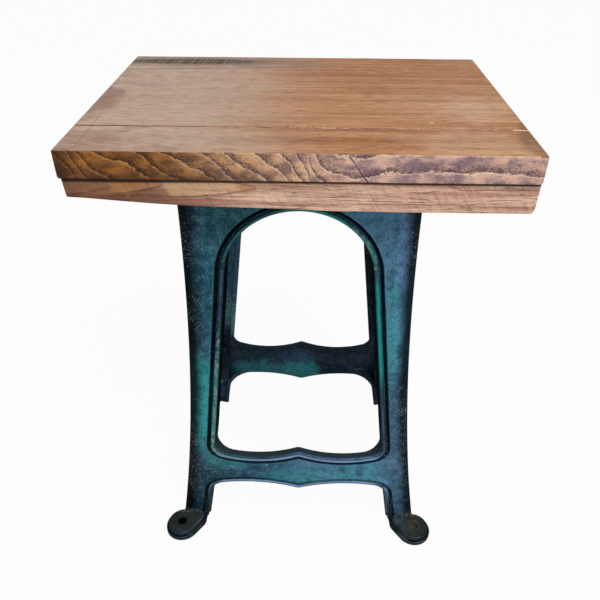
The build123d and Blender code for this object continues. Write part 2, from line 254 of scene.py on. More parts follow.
def filled(loops, depth):
    """Flat faces between an outer loop and its holes at one depth, as points and triangles.

    A triangle is kept where a line sideways from its middle crosses the loops an odd number of times.
    """
    starts = np.concatenate(loops)
    ends = np.concatenate([np.roll(loop, -1, axis=0) for loop in loops])
    number = np.arange(len(starts))
    sizes = np.array([len(loop) for loop in loops])
    following = number + 1
    following[np.cumsum(sizes) - 1] -= sizes
    edges = np.stack([number, following], axis=1).tolist()
    made = delaunay_2d_cdt(starts.tolist(), edges, [], 0, 1e-5)
    flat = np.array(made[0])
    triangles = np.array(made[2])
    middle = flat[triangles].mean(axis=1)[:, None, :]
    spans = (starts[:, 1] > middle[..., 1]) != (ends[:, 1] > middle[..., 1])
    rise = np.where(starts[:, 1] == ends[:, 1], 1.0, ends[:, 1] - starts[:, 1])
    crossing = starts[:, 0] + (ends[:, 0] - starts[:, 0]) * (middle[..., 1] - starts[:, 1]) / rise
    kept = (spans & (middle[..., 0] < crossing)).sum(axis=1) % 2 == 1
    points = np.stack([flat[:, 0], np.full(len(flat), depth - frame_face_y), flat[:, 1]], axis=1)
    return points, triangles[kept]


def mesh_piece(name, parts, mask_names):
    """One object from parts of points, faces and masks for each point, with matching points joined."""
    built = bmesh.new()
    for mask in mask_names:
        built.verts.layers.float.new(mask)
    for points, faces, masks, smooth in parts:
        sheet = bpy.data.meshes.new("sheet")
        sheet.from_pydata((points * MM).tolist(), [], faces.tolist())
        for mask, values in zip(mask_names, masks.T):
            sheet.attributes.new(mask, "FLOAT", "POINT").data.foreach_set("value", values.copy())
        sheet.polygons.foreach_set("use_smooth", np.full(len(faces), smooth))
        built.from_mesh(sheet)
        bpy.data.meshes.remove(sheet)
    bmesh.ops.remove_doubles(built, verts=built.verts, dist=0.02 * MM)
    bmesh.ops.holes_fill(built, edges=[edge for edge in built.edges if edge.is_boundary], sides=0)
    bmesh.ops.recalc_face_normals(built, faces=built.faces)
    mesh = bpy.data.meshes.new(name)
    built.to_mesh(mesh)
    built.free()
    piece = bpy.data.objects.new(name, mesh)
    bpy.context.scene.collection.objects.link(piece)
    return piece


arch_centre_z = crown_z - arch_radius
spring = np.array([
    arch_radius * np.cos(arch_lean),
    arch_centre_z + arch_radius * np.sin(arch_lean),
])
arch = arc_points(np.array([0.0, arch_centre_z]), arch_radius, np.array([0.0, crown_z]), spring)
lower_part, opening_sweep = wavy_edge(
    spring, opening_corner, opening_dip, opening_corner[1], opening_corner_radius, stretcher_point_radius
)
opening_half = np.concatenate([arch[:-1], lower_part])
gap_half, gap_sweep = wavy_edge(
    np.array([foot_inner_x, 0.0]), ankle, stretcher_crest, stretcher_tip_z, ankle_radius,
    stretcher_point_radius
)
leg_flare = frame_foot_half_width - frame_top_half_width
leg_radius = (leg_flare ** 2 + stand_top ** 2) / (2 * leg_flare)
leg_half = arc_points(
    np.array([frame_top_half_width + leg_radius, stand_top]),
    leg_radius,
    np.array([frame_top_half_width, stand_top]),
    np.array([frame_foot_half_width, 0.0]),
)
beaded = edge_profile(True)
beaded_below = edge_profile(True, lower_crest_lean)
plain = edge_profile(False)

opening_rows = moved_in(opening_half, 1, beaded[:, 0], opening_sweep)
gap_rows = moved_in(gap_half, -1, beaded[:, 0], gap_sweep)
leg_rows = moved_in(leg_half, -1, plain[:, 0])
leg_rows[0, :, 1] = stand_top
leg_rows[-1, :, 1] = 0
gap_rows[0, :, 1] = 0
gap_rows[-1, :, 0] = 0
opening_rows[[0, -1], :, 0] = 0

opening_points = both_halves(swept(opening_rows, beaded, rim_depth(opening_half)))[:-1]
gap_points = both_halves(swept(gap_rows, beaded, rim_depth(gap_half)))
right_leg = swept(leg_rows, plain, rim_depth(leg_half))
left_leg = right_leg[::-1] * np.array([-1, 1, 1])


def no_masks(count):
    """Masks of points that show none of them."""
    return np.zeros((count, len(casting_masks)))


def skin(points, profile, closed_rows=False):
    """A swept grid as a part of a piece."""
    rows, columns = points.shape[:2]
    masks = np.tile(profile[:, 3:], (rows, 1))
    return points.reshape(-1, 3), grid_faces(rows, columns, closed_rows), masks, True


def face_at(column, depth):
    """Flat face of the casting between the moved edges at one column of the profiles."""
    outer = np.concatenate([right_leg[:, column], gap_points[:, column], left_leg[:, column]])
    points, faces = filled([outer[:, [0, 2]], opening_points[:, column][:, [0, 2]]], depth)
    return points, faces, no_masks(len(points)), False


casting = [
    skin(opening_points, beaded, True),
    skin(gap_points, beaded_below),
    skin(right_leg, plain),
    skin(left_leg, plain),
    face_at(-1, 0),
    face_at(0, web_thickness),
]

# Lug feet of the frames: a round tongue in two steps with a hole, drawn through the circles of heel and toe
lug_toe = np.array([212.0, -178.0])
lug_toe_radius = 30
lug_heel = np.array([191.5, -165.0])
lug_heel_radius = 21
lug_hole_radius = 7.5
lug_steps = np.array([
    [0, 0], [0, 5.2], [0.4, 6.4], [1.4, 7], [3, 7],
    [3.6, 7.4], [4.4, 12.6], [5, 14.6], [6.2, 15.7], [8, 16],
])
lug_hole = np.array([
    [lug_hole_radius + 1, 16], [lug_hole_radius + 0.2, 15.6], [lug_hole_radius, 14.5], [lug_hole_radius, 9],
    [0, 8.5],
])
# The lug's crest values on its two rims carry a painted highlight, and its recess values between the steps
# and in the hole carry painted shade.
lug_masks = no_masks(len(lug_steps) + len(lug_hole))
lug_masks[2:4, 0] = 0.9
lug_masks[7:9, 0] = 0.95
lug_masks[4:6, 1] = 0.6
lug_masks[-3:, 1] = 1


def lug_part():
    """Surface of a lug foot: in each direction the circle that reaches furthest, stepped in with height."""
    turn = np.linspace(0, 2 * np.pi, 97)[:-1]
    way = np.stack([np.cos(turn), np.sin(turn)], axis=1)
    toe_first = way @ (lug_toe - lug_heel) + lug_toe_radius - lug_heel_radius > 0
    centre = np.where(toe_first[:, None], lug_toe, lug_heel)
    radius = np.where(toe_first, lug_toe_radius, lug_heel_radius)
    outside = centre[:, None, :] + (radius[:, None] - lug_steps[None, :, 0])[..., None] * way[:, None, :]
    inside = lug_toe + lug_hole[None, :, 0, None] * way[:, None, :]
    plan = np.concatenate([outside, inside], axis=1)
    height = np.concatenate([lug_steps[:, 1], lug_hole[:, 1]])
    points = np.concatenate([plan, np.broadcast_to(height, plan.shape[:2])[..., None]], axis=2)
    rows, columns = plan.shape[:2]
    return points.reshape(-1, 3), grid_faces(rows, columns, True), np.tile(lug_masks, (rows, 1)), True


# Ribs that lead the bead of each leg down on to the rim of its lug
rib_path = np.array([
    [171.5, -146.5, 74], [171.5, -150.5, 48], [171.6, -153.5, 28], [172, -157.5, 15], [172.6, -164, 9.5],
    [174.5, -172, 7.5], [178.5, -180, 6.4], [185, -189, 5.6], [193, -197, 5], [203, -203, 4.2],
])
rib_radius = np.array([3.4, 3.6, 4.2, 4.6, 4.5, 4.3, 4.2, 4, 3.6, 3])
rib_rings = 46
rib_sides = 12
# The rib's crest values carry a painted highlight along it.
rib_masks = no_masks(rib_rings * rib_sides)
rib_masks[:, 0] = np.repeat(np.linspace(0.4, 0.85, rib_rings), rib_sides)


def rib_part():
    """Tube along a smooth path: centre line plus radius times a circle square to the line's direction."""
    place = np.linspace(0, len(rib_path) - 1, rib_rings)
    knots = np.arange(len(rib_path))
    spread = np.linspace(-0.8, 0.8, 9)[:, None]
    runs = [np.interp(place + spread, knots, column).mean(axis=0) for column in rib_path.T]
    centre = np.stack(runs, axis=1)
    radius = np.interp(place, knots, rib_radius)
    way = unit(np.gradient(centre, axis=0))
    first = unit(np.cross(way, np.array([1.0, 0.0, 0.0])))
    second = np.cross(way, first)
    turn = np.linspace(0, 2 * np.pi, rib_sides, endpoint=False)[None, :, None]
    circle = np.cos(turn) * first[:, None, :] + np.sin(turn) * second[:, None, :]
    points = centre[:, None, :] + radius[:, None, None] * circle
    return points.reshape(-1, 3), grid_faces(rib_rings, rib_sides, False, True), rib_masks, True


# Blocks in the hollow legs for the side ties, and the wall under the planks
seat_blocks = np.array([
    [[158, 86], [194, 86], [183, 176], [158, 176]],
    [[101, 615], [152, 615], [152, stand_top], [101, stand_top]],
])
wall_ends = frame_top_half_width - 1
top_wall = np.array([
    [-wall_ends, stand_top - wall_thickness], [wall_ends, stand_top - wall_thickness],
    [wall_ends, stand_top], [-wall_ends, stand_top],
])


def block_part(corners):
    """Closed block from just inside the web to the frame's back, with eased back edges."""
    ease = np.array([[0, web_thickness - 1], [0, frame_depth - rim_round], [rim_round, frame_depth]])
    inward = np.sign(corners.mean(axis=0) - corners)
    plan = corners[:, None, :] + ease[None, :, 0, None] * inward[:, None, :]
    deep = np.broadcast_to(ease[:, 1] - frame_face_y, plan.shape[:2])
    points = np.stack([plan[..., 0], deep, plan[..., 1]], axis=2).reshape(-1, 3)
    return points, grid_faces(*plan.shape[:2], True), no_masks(len(points)), False


leg_parts = [lug_part(), rib_part(), *map(block_part, seat_blocks)]
for side in (1, -1):
    casting += [(points * np.array([side, 1, 1]), *others) for points, *others in leg_parts]
casting.append(block_part(top_wall))

front_casting = mesh_piece("front_casting", casting, casting_masks)
rear_casting = front_casting.copy()
rear_casting.data = front_casting.data.copy()
rear_casting.name = "rear_casting"
rear_casting.data.transform(Matrix.Rotation(np.pi, 4, "Z"))
bpy.context.scene.collection.objects.link(rear_casting)
for casting_piece, node in ((front_casting, "front_frame"), (rear_casting, "rear_frame")):
    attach(casting_piece, "root")
    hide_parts(node)


class Value:
    """What a shader node gives out, to be added, multiplied and taken away like a number."""

    def __init__(self, socket):
        self.socket = socket
        self.tree = socket.id_data

    def __add__(self, other):
        return calc("ADD", self, other)

    def __sub__(self, other):
        return calc("SUBTRACT", self, other)

    def __rsub__(self, other):
        return calc("SUBTRACT", other, self)

    def __mul__(self, other):
        return calc("MULTIPLY", self, other)

    def __abs__(self):
        return calc("ABSOLUTE", self)


def join(node, sockets):
    """Sockets of a node, each set to a plain value or joined to what another node gives out."""
    for name, value in sockets.items():
        if isinstance(value, Value):
            node.id_data.links.new(value.socket, node.inputs[name])
        else:
            node.inputs[name].default_value = value


def add(tree, kind, sockets, **settings):
    """A node with its settings and sockets."""
    made = tree.nodes.new("ShaderNode" + kind)
    for name, value in settings.items():
        setattr(made, name, value)
    join(made, sockets)
    return made


def calc(operation, *values, kind="Math", output=0):
    """Result of an operation on one or more values."""
    tree = next(value.tree for value in values if isinstance(value, Value))
    return Value(add(tree, kind, dict(enumerate(values)), operation=operation).outputs[output])


def vector(operation, *values):
    """Result of an operation on vectors, which is a number for a length, a distance or a dot product."""
    is_number = operation in ("LENGTH", "DISTANCE", "DOT_PRODUCT")
    return calc(operation, *values, kind="VectorMath", output=int(is_number))


def most(first, *others):
    """The largest of several values."""
    for other in others:
        first = calc("MAXIMUM", first, other)
    return first


def step(value, low, high, kind="SMOOTHSTEP"):
    """Smooth step of a value from 0 at one limit to 1 at the other."""
    limits = {0: value, 1: low, 2: high}
    return Value(add(value.tree, "MapRange", limits, interpolation_type=kind).outputs[0])


def cloud(place, stretch, detail=3.0, roughness=0.55):
    """Cloudy values from 0 to 1, with so many clouds to the metre along each way."""
    stretched = vector("MULTIPLY", place, stretch)
    sockets = {0: stretched, "Scale": 1.0, "Detail": detail, "Roughness": roughness}
    return Value(add(place.tree, "TexNoise", sockets).outputs[0])


def tone(red, green, blue):
    """A colour from its screen values, as the linear values that shaders use."""
    share = np.array([red, green, blue]) / 255
    linear = np.where(share > 0.04045, ((share + 0.055) / 1.055) ** 2.4, share / 12.92)
    return (*linear.tolist(), 1.0)


def coat(under, share, over, strength=1.0):
    """A colour under a share of another one, each from a node or as screen values."""
    under, over = (tone(*colour) if isinstance(colour, tuple) else colour for colour in (under, over))
    if strength != 1.0:
        share = share * strength
    return Value(add(share.tree, "Mix", {0: share, 6: under, 7: over}, data_type="RGBA").outputs[2])


def coats(colour, *layers):
    """A colour under several coats, each with its share, its colour and, if need be, a strength."""
    for layer in layers:
        colour = coat(colour, *layer)
    return colour


def sides(place):
    """The three measures of a place: along the table, to the rear and up."""
    return [Value(socket) for socket in add(place.tree, "SeparateXYZ", {0: place}).outputs]


def point(x, y, z):
    """A place from its three measures."""
    tree = next(measure.tree for measure in (x, y, z) if isinstance(measure, Value))
    return Value(add(tree, "CombineXYZ", {0: x, 1: y, 2: z}).outputs[0])


def raised(height, strength, depth):
    """Normal of a surface raised by a height."""
    sockets = {"Height": height, "Strength": strength, "Distance": depth}
    return Value(add(height.tree, "Bump", sockets).outputs[0])


def new_group(name, inputs, outputs):
    """An empty node group with named sockets, with the values it is given and the node of its results."""
    group = bpy.data.node_groups.new(name, "ShaderNodeTree")
    for socket, value in inputs.items():
        kind = "NodeSocketVector" if isinstance(value, tuple) else "NodeSocketFloat"
        group.interface.new_socket(name=socket, in_out="INPUT", socket_type=kind).default_value = value
    for socket in outputs:
        group.interface.new_socket(name=socket, in_out="OUTPUT", socket_type="NodeSocketFloat")
    given = [Value(socket) for socket in group.nodes.new("NodeGroupInput").outputs][:len(inputs)]
    return group, given, group.nodes.new("NodeGroupOutput")


def use(group, place, sockets):
    """A node group placed in a material, as its results by name."""
    made = add(place.tree, "Group", {"Place": place, **sockets}, node_tree=group)
    return {socket.name: Value(socket) for socket in made.outputs}


def new_material(name, *mask_names):
    """A material, with its shader, the place on the object and the masks that come with the mesh."""
    material = bpy.data.materials.new(name)
    material.use_nodes = True
    tree = material.node_tree
    place = Value(add(tree, "TexCoord", {}).outputs["Object"])
    masks = [Value(add(tree, "Attribute", {}, attribute_name=mask).outputs["Fac"]) for mask in mask_names]
    return material, tree.nodes["Principled BSDF"], place, *masks


# Soft patch: 1 within an oval round a centre, ragged at its rim
patch_group, (place, centre, size, raggedness, grain), out = new_group(
    "soft patch",
    {"Place": (0, 0, 0), "Centre": (0, 0, 0), "Size": (0.1, 0.1, 0.1), "Raggedness": 0.5, "Grain": 40.0},
    ["Mask"],
)
away = vector("LENGTH", vector("DIVIDE", vector("SUBTRACT", place, centre), size))
ragged = Value(add(patch_group, "TexNoise", {"Vector": place, "Scale": grain, "Detail": 4.0}).outputs[0])
join(out, {"Mask": step((ragged - 0.5) * raggedness * 3.0 + away, 1.1, 0.5)})


def patch(place, centre, size, raggedness=0.5, grain=40.0):
    """Mask of a soft patch."""
    return use(patch_group, place, {
        "Centre": centre, "Size": size, "Raggedness": raggedness, "Grain": grain,
    })["Mask"]


def patched(colour, place, patches):
    """A colour with soft patches of paint laid over it in turn."""
    for paint, strength, *shape in patches:
        colour = coat(colour, patch(place, *shape), paint, strength)
    return colour


# Sand skin: the grainy skin that iron takes from its sand mould, with pale specks, partly chips where paint
# has gone and partly painted glints on the grains
sand_group, (place, grains), out = new_group(
    "sand skin", {"Place": (0, 0, 0), "Grains": 330.0}, ["Height", "Specks"]
)
coarse = Value(add(sand_group, "TexNoise", {"Vector": place, "Scale": grains, "Detail": 2.0}).outputs[0])
swell = Value(add(sand_group, "TexNoise", {"Vector": place, "Scale": 90.0, "Detail": 1.0}).outputs[0])
clusters = step(cloud(place, (30, 30, 30)), 0.48, 0.68)
specks = step(cloud(place, (430, 430, 430), 1.0), 0.6, 0.68)
join(out, {"Height": swell * 0.8 + coarse, "Specks": clusters * specks})

# Drawn line: a fine crack, scratch or scribed line between two points
line_group, (place, start, end, width, waver), out = new_group(
    "drawn line",
    {"Place": (0, 0, 0), "Start": (0, 0, 0), "End": (0.1, 0, 0), "Width": 0.0006, "Waver": 0.001},
    ["Mask"],
)
run = vector("SUBTRACT", end, start)
shake = Value(add(line_group, "TexNoise", {"Vector": place, "Scale": 50.0, "Detail": 3.0}).outputs["Color"])
shake = vector("MULTIPLY", vector("SUBTRACT", shake, (0.5, 0.5, 0.5)), waver)
here = vector("SUBTRACT", vector("ADD", place, shake), start)
part_way = calc("DIVIDE", vector("DOT_PRODUCT", here, run), vector("DOT_PRODUCT", run, run))
part_way = Value(add(line_group, "Clamp", {0: part_way}).outputs[0])
off_line = vector("DISTANCE", here, vector("MULTIPLY", run, part_way))
join(out, {"Mask": step(calc("DIVIDE", off_line, width), 1.0, 0.4)})


def line(place, start, end, width, waver=0.002):
    """Mask of a drawn line."""
    return use(line_group, place, {"Start": start, "End": end, "Width": width, "Waver": waver})["Mask"]


def lines_on_front(place, front_y, runs, width, waver):
    """Mask of lines on an upright face, each run of them through places along and up."""
    return most(*(
        line(place, (start[0], front_y, start[1]), (end[0], front_y, end[1]), width, waver)
        for run in runs for start, end in zip(run, run[1:])
    ))


iron, shader, place, crest, recess, corner, wall, arris = new_material("painted iron", *casting_masks)
x, y, z = sides(place)
face_y = -frame_face_y * MM
from_side = abs(x)
from_middle = abs(y)
behind = step(y, 0.0, 0.06)
sand = use(sand_group, place, {})
curve_x = from_side - (frame_top_half_width + leg_radius) * MM
edge_in = vector("LENGTH", point(curve_x, 0.0, z - stand_top * MM)) - leg_radius * MM
broad_left = step(x, 0.05, -0.05) * 0.002 + 0.008
ragged_edge = cloud(place, (26, 26, 14), 4.0) * 0.016 + edge_in - broad_left
patchy = step(cloud(place, (28, 28, 22), 4.0, 0.6), 0.38, 0.62)

# Paint: green black at the left, slate blue at the right, with turquoise where it has faded
turquoise = (48, 148, 150)
drip_blue = (38, 64, 90)
blue_share = step(x, -0.13, 0.14) + cloud(place, (14, 14, 9)) * 1.1 - 0.55
# Colour of the rear frame with painted light and shade: painted shade makes its right half near-black and
# darkens the stretcher under its top rim, and painted light brightens the upper left
rear_light_and_shade = coats(
    (48, 76, 94),
    (step(x, -0.04, 0.06), (7, 10, 11)),
    (step(z, 0.112, 0.128) * step(z, 0.22, 0.19), (17, 27, 35), 0.75),
    (step(z, 0.2, 0.26) * step(x, 0.0, -0.06), (70, 106, 132), 0.9),
)
colour = coats(
    (27, 64, 78),
    (blue_share, (95, 135, 174)),
    # lighter teal in the middle of the legs' web, away from the outer edge: a painted highlight
    (step(edge_in, 0.018, 0.036) * step(z, 0.17, 0.24), (46, 102, 116), 0.45),
    (step(cloud(place, (48, 48, 36), 5.0, 0.65), 0.47, 0.68), (16, 38, 56), 0.45),
    (behind, rear_light_and_shade, 0.93),
)
colour = patched(colour, place, (
    (turquoise, 1.0, (-0.165, face_y, 0.3), (0.06, 0.06, 0.12), 0.4),
    (turquoise, 0.55, (0.128, face_y, 0.4), (0.035, 0.06, 0.14), 0.4),
    (turquoise, 0.4, (0.02, face_y, 0.12), (0.1, 0.06, 0.035), 0.4),
    (turquoise, 0.36, (-0.12, face_y, 0.16), (0.05, 0.06, 0.03), 0.4),
    (turquoise, 0.4, (0.115, face_y, 0.13), (0.05, 0.06, 0.04), 0.4),
    (turquoise, 0.6, (-0.143, 0.13, 0.26), (0.03, 0.06, 0.04), 0.4),
    (turquoise, 0.62, (0.0, 0.145, 0.095), (0.045, 0.04, 0.045), 0.4),
    (turquoise, 0.42, (-0.09, 0.145, 0.1), (0.06, 0.04, 0.032), 0.4),
    (drip_blue, 0.55, (0.077, face_y, 0.141), (0.007, 0.03, 0.014), 0.3),
    (drip_blue, 0.55, (0.108, face_y, 0.139), (0.009, 0.03, 0.02), 0.3),
))
colour = coat(colour, step(z, 0.22, 0.13) * step(x, -0.14, -0.17), (16, 27, 36), 0.5)
colour = patched(colour, place, (
    ((42, 62, 86), 0.62, (0.16, face_y, 0.26), (0.035, 0.06, 0.16), 0.4),
    ((38, 64, 78), 0.7, (0.185, face_y, 0.07), (0.035, 0.06, 0.075), 0.4),
    ((44, 72, 104), 0.55, (-0.005, 0.145, 0.135), (0.045, 0.04, 0.022), 0.4),
    ((46, 74, 98), 0.7, (-0.17, 0.14, 0.0), (0.06, 0.06, 0.055), 0.3),
))
# Painted shade in the pits of the sand skin and painted highlights on its bumps, fewer on the rear frame
colour = coats(
    colour,
    (step(sand["Height"], 0.9, 0.7), (8, 20, 28), 0.42),
    (step(sand["Height"], 0.92, 1.1) * (0.32 - behind * 0.24), (92, 136, 158)),
)

# Painted shade: near-black outer corners, inner walls, grooves and lug holes; painted highlights on the
# arris and along the lugs' front edges; dull feet
edge_shade = most(step(ragged_edge, 0.025, 0.008), step(corner, 0.2, 0.7))
# Painted shade on the inner walls: near-black, dark grey on the flange tops under the opening
wall_shade_colour = coat((5, 8, 9), step(z, 0.25, 0.19), (44, 53, 54))
lug_share = step(cloud(place, (80, 80, 80)) * 0.012 + z, 0.03, 0.02)
lug_colour = coats(
    (24, 30, 27),
    (cloud(place, (70, 70, 70), 4.0), (58, 64, 58)),
    # a painted highlight along the lugs' front edges
    (step(from_middle, 0.186, 0.206), (60, 74, 86), 0.4),
)
below_stretcher = step(z, 0.1, 0.085)
low_bead = below_stretcher * step(from_side, 0.175, 0.155)
# Painted highlight on the arris beside the groove, brightest at the upper right of the arch
lit_arris = patch(place, (0.09, face_y, 0.57), (0.07, 0.05, 0.13), 0.2)
arris_highlight_colour = coat((48, 112, 120), blue_share, (92, 136, 172))
colour = coats(
    colour,
    (edge_shade, (6, 10, 12), 0.95),
    (wall * (0.97 - behind * 0.7), wall_shade_colour),
    (lug_share, lug_colour),
    # painted shade in the grooves, between the lug's steps and in the lug holes, less in the lower bead's
    # groove
    (step(recess, 0.05, 0.55) * (0.95 - low_bead * 0.4), (4, 7, 8)),
    (arris * most(patchy * 0.45 + 0.2, lit_arris), arris_highlight_colour),
)

# Beads: painted shade on the flanks and a painted highlight along the crest, blue, teal or turquoise, with
# patches where the paint is rubbed to turquoise or worn to the metal
lit_right_bead = patch(place, (0.112, face_y, 0.435), (0.05, 0.05, 0.13), 0.2)
crown = patch(place, (0.025, face_y, 0.64), (0.085, 0.05, 0.035), 0.2)
on_stretcher = most(step(z, 0.2, 0.185) * step(from_side, 0.152, 0.13), low_bead)
arch_shine_colour = coat((48, 116, 116), step(x, -0.02, 0.05), (44, 142, 140))
stretcher_shine_colour = coat((128, 162, 202), low_bead * step(x, -0.05, -0.1), (80, 108, 122))
crest_shine_colour = coats(
    (60, 92, 130),
    (step(z, 0.53, 0.6), arch_shine_colour),
    (lit_right_bead, (24, 154, 142)),
    (on_stretcher, stretcher_shine_colour),
    (below_stretcher * step(from_side, 0.155, 0.17), (36, 60, 72)),
    (lug_share, (84, 100, 112)),
)
# The painted highlight along the crests, wider and brighter on the lit right bead, the crown and the
# stretcher
strong_shine = most(lit_right_bead, crown, on_stretcher * 0.75)
painted_shine = step(crest, 0.6 - strong_shine * 0.4, 0.98) * (most(patchy, strong_shine) * 0.65 + 0.2)
worn = most(
    patch(place, (-0.15, face_y, 0.3), (0.05, 0.03, 0.19), 0.6, 110.0),
    patch(place, (0.0875, face_y, 0.585), (0.035, 0.03, 0.035), 0.9, 160.0),
)
rubbed = worn * step(crest, 0.1, 0.5)
flakes = step(cloud(place, (230, 230, 120), 5.0, 0.65), 0.46, 0.58)
bare_metal = coat((172, 184, 174), cloud(place, (300, 300, 300)), (112, 104, 90))
colour = coats(
    colour,
    # painted shade on the beads' flanks
    (step(crest, 0.05, 0.3), (12, 21, 27), 0.9),
    (painted_shine, crest_shine_colour),
    (rubbed, (44, 136, 128), 0.55),
    (rubbed * flakes, bare_metal, 0.75),
)

# Chips and scratches, most of them near the outer corners; the scattered pale specks are partly chips and
# partly painted glints
chips_and_glints = sand["Specks"] * (step(ragged_edge, 0.03, 0.014) * 0.36 + 0.2) * (1.0 - lug_share)
chipped = most(*(patch(place, centre, size, 0.9, 120.0) for centre, size in (
    ((0.151, face_y, 0.574), (0.012, 0.03, 0.016)), ((-0.156, face_y, 0.16), (0.025, 0.03, 0.04)),
    ((0.145, face_y, 0.141), (0.02, 0.03, 0.02)), ((-0.154, face_y, 0.6), (0.014, 0.03, 0.04)),
    ((-0.184, face_y, 0.15), (0.02, 0.03, 0.09)), ((0.17, face_y, 0.2), (0.03, 0.03, 0.13)),
    ((-0.136, 0.13, 0.262), (0.03, 0.06, 0.04)),
)))
crumbs = step(cloud(place, (380, 380, 380), 2.0), 0.56, 0.66)
scratches = lines_on_front(place, face_y, (
    ((-0.119, 0.1445), (-0.112, 0.141)), ((-0.0575, 0.155), (-0.0545, 0.146)),
), 0.0014, 0.001)
rear_flecks = patch(place, (-0.14, 0.125, 0.262), (0.035, 0.06, 0.045), 0.9, 120.0)
rear_flecks = rear_flecks * step(cloud(place, (200, 200, 160), 3.0), 0.48, 0.6)
filled_hole = patch(place, (0.212, -0.178, 0.009), (0.014, 0.014, 0.02), 0.1)
crease = step(abs(z - 0.0175), 0.003, 0.001) * step(from_middle, 0.162, 0.157) * step(flakes, 0.2, 0.8)
colour = coats(
    colour,
    (most(chips_and_glints, chipped * crumbs * 0.36, scratches * 0.8), (142, 172, 172)),
    (rear_flecks, (150, 146, 134), 0.6),
    (filled_hole, (74, 76, 64), 0.85),
    (crease, (118, 126, 122), 0.5),
)
join(shader, {
    "Base Color": colour,
    "Roughness": most(recess, lug_share) * 0.2 + cloud(place, (70, 70, 70)) * 0.2 + 0.38,
    "Specular IOR Level": 0.0,
    "Coat Weight": 0.1 - most(wall, recess, corner, lug_share) * 0.1,
    "Coat Roughness": 0.3,
    "Normal": raised(sand["Height"], 1.0, 0.002),
})
for casting_piece in (front_casting, rear_casting):
    casting_piece.data.materials.append(iron)

# Side stretchers and side rails
# Four cast ties between the frames, behind the legs and under the planks, painted with the frames.
# They keep the frames upright and are bolted to the blocks in the hollow legs.


def dress(nodes, material):
    """Pieces that keep their CAD shape, given a material in place of their own."""
    for node in nodes:
        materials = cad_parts[node].data.materials
        materials.clear()
        materials.append(material)


dress(("left_side_stretcher", "right_side_stretcher", "left_side_rail", "right_side_rail"), iron)

# Bolts and coach screws
# Hexagon bolts hold the ties to the frames, and coach screws hold the planks down on the stand.
# They are plain steel, dulled and a little rusty.
steel, shader, place = new_material("dull steel")
rusty = step(cloud(place, (120, 120, 120), 4.0), 0.48, 0.66)
join(shader, {
    "Base Color": coat((92, 92, 90), rusty, (84, 56, 38)),
    "Metallic": 0.8 - rusty * 0.6,
    "Roughness": rusty * 0.3 + 0.45,
})
dress(("stretcher_bolts", "rail_bolts", "frame_coach_screws", "rail_coach_screws"), steel)

# Lower planks
# Three thick planks of reclaimed wood side by side, rough-sawn on their edges and screwed to the stand.
# The front one has a waney lower edge at its left end, where the tree's outside was.
layer_z = 705.5
under_half_length = 277
under_half_depth = 205
under_edges = (-under_half_depth, -70, 68, under_half_depth)
under_right_end = 279.6
under_lean_left = np.tan(np.radians(5))
under_lean_right = np.tan(np.radians(1))
under_rounds = {"outer": 4.0, "joint": 0.8, "low": 6.5, "high": 2.5}
wane_x = [-277, -256, -216, -175, -134, -94, -53, -12, 28, 60]
wane_rise = [15, 14, 10.8, 7.8, 5.6, 4.6, 3.8, 3, 1, 0]
wane_depth = 38
plank_names = ("front", "middle", "rear")
plank_masks = ("long_edge", "end", "plank")
joint_brown = (40, 28, 24)


def wavy(along, start):
    """Uneven line between -1 and 1: three sine waves of falling length and height added together."""
    return (0.5 * np.sin(along / 37 + start) + 0.3 * np.sin(along / 13.1 + 2 * start)
            + 0.2 * np.sin(along / 5.3 + 3 * start))


def eased(reach, radius):
    """How far a round corner stands back at a distance from the end: radius less the circle's height."""
    left = np.clip(radius - reach, 0, radius)
    return radius - np.sqrt(radius ** 2 - left ** 2)


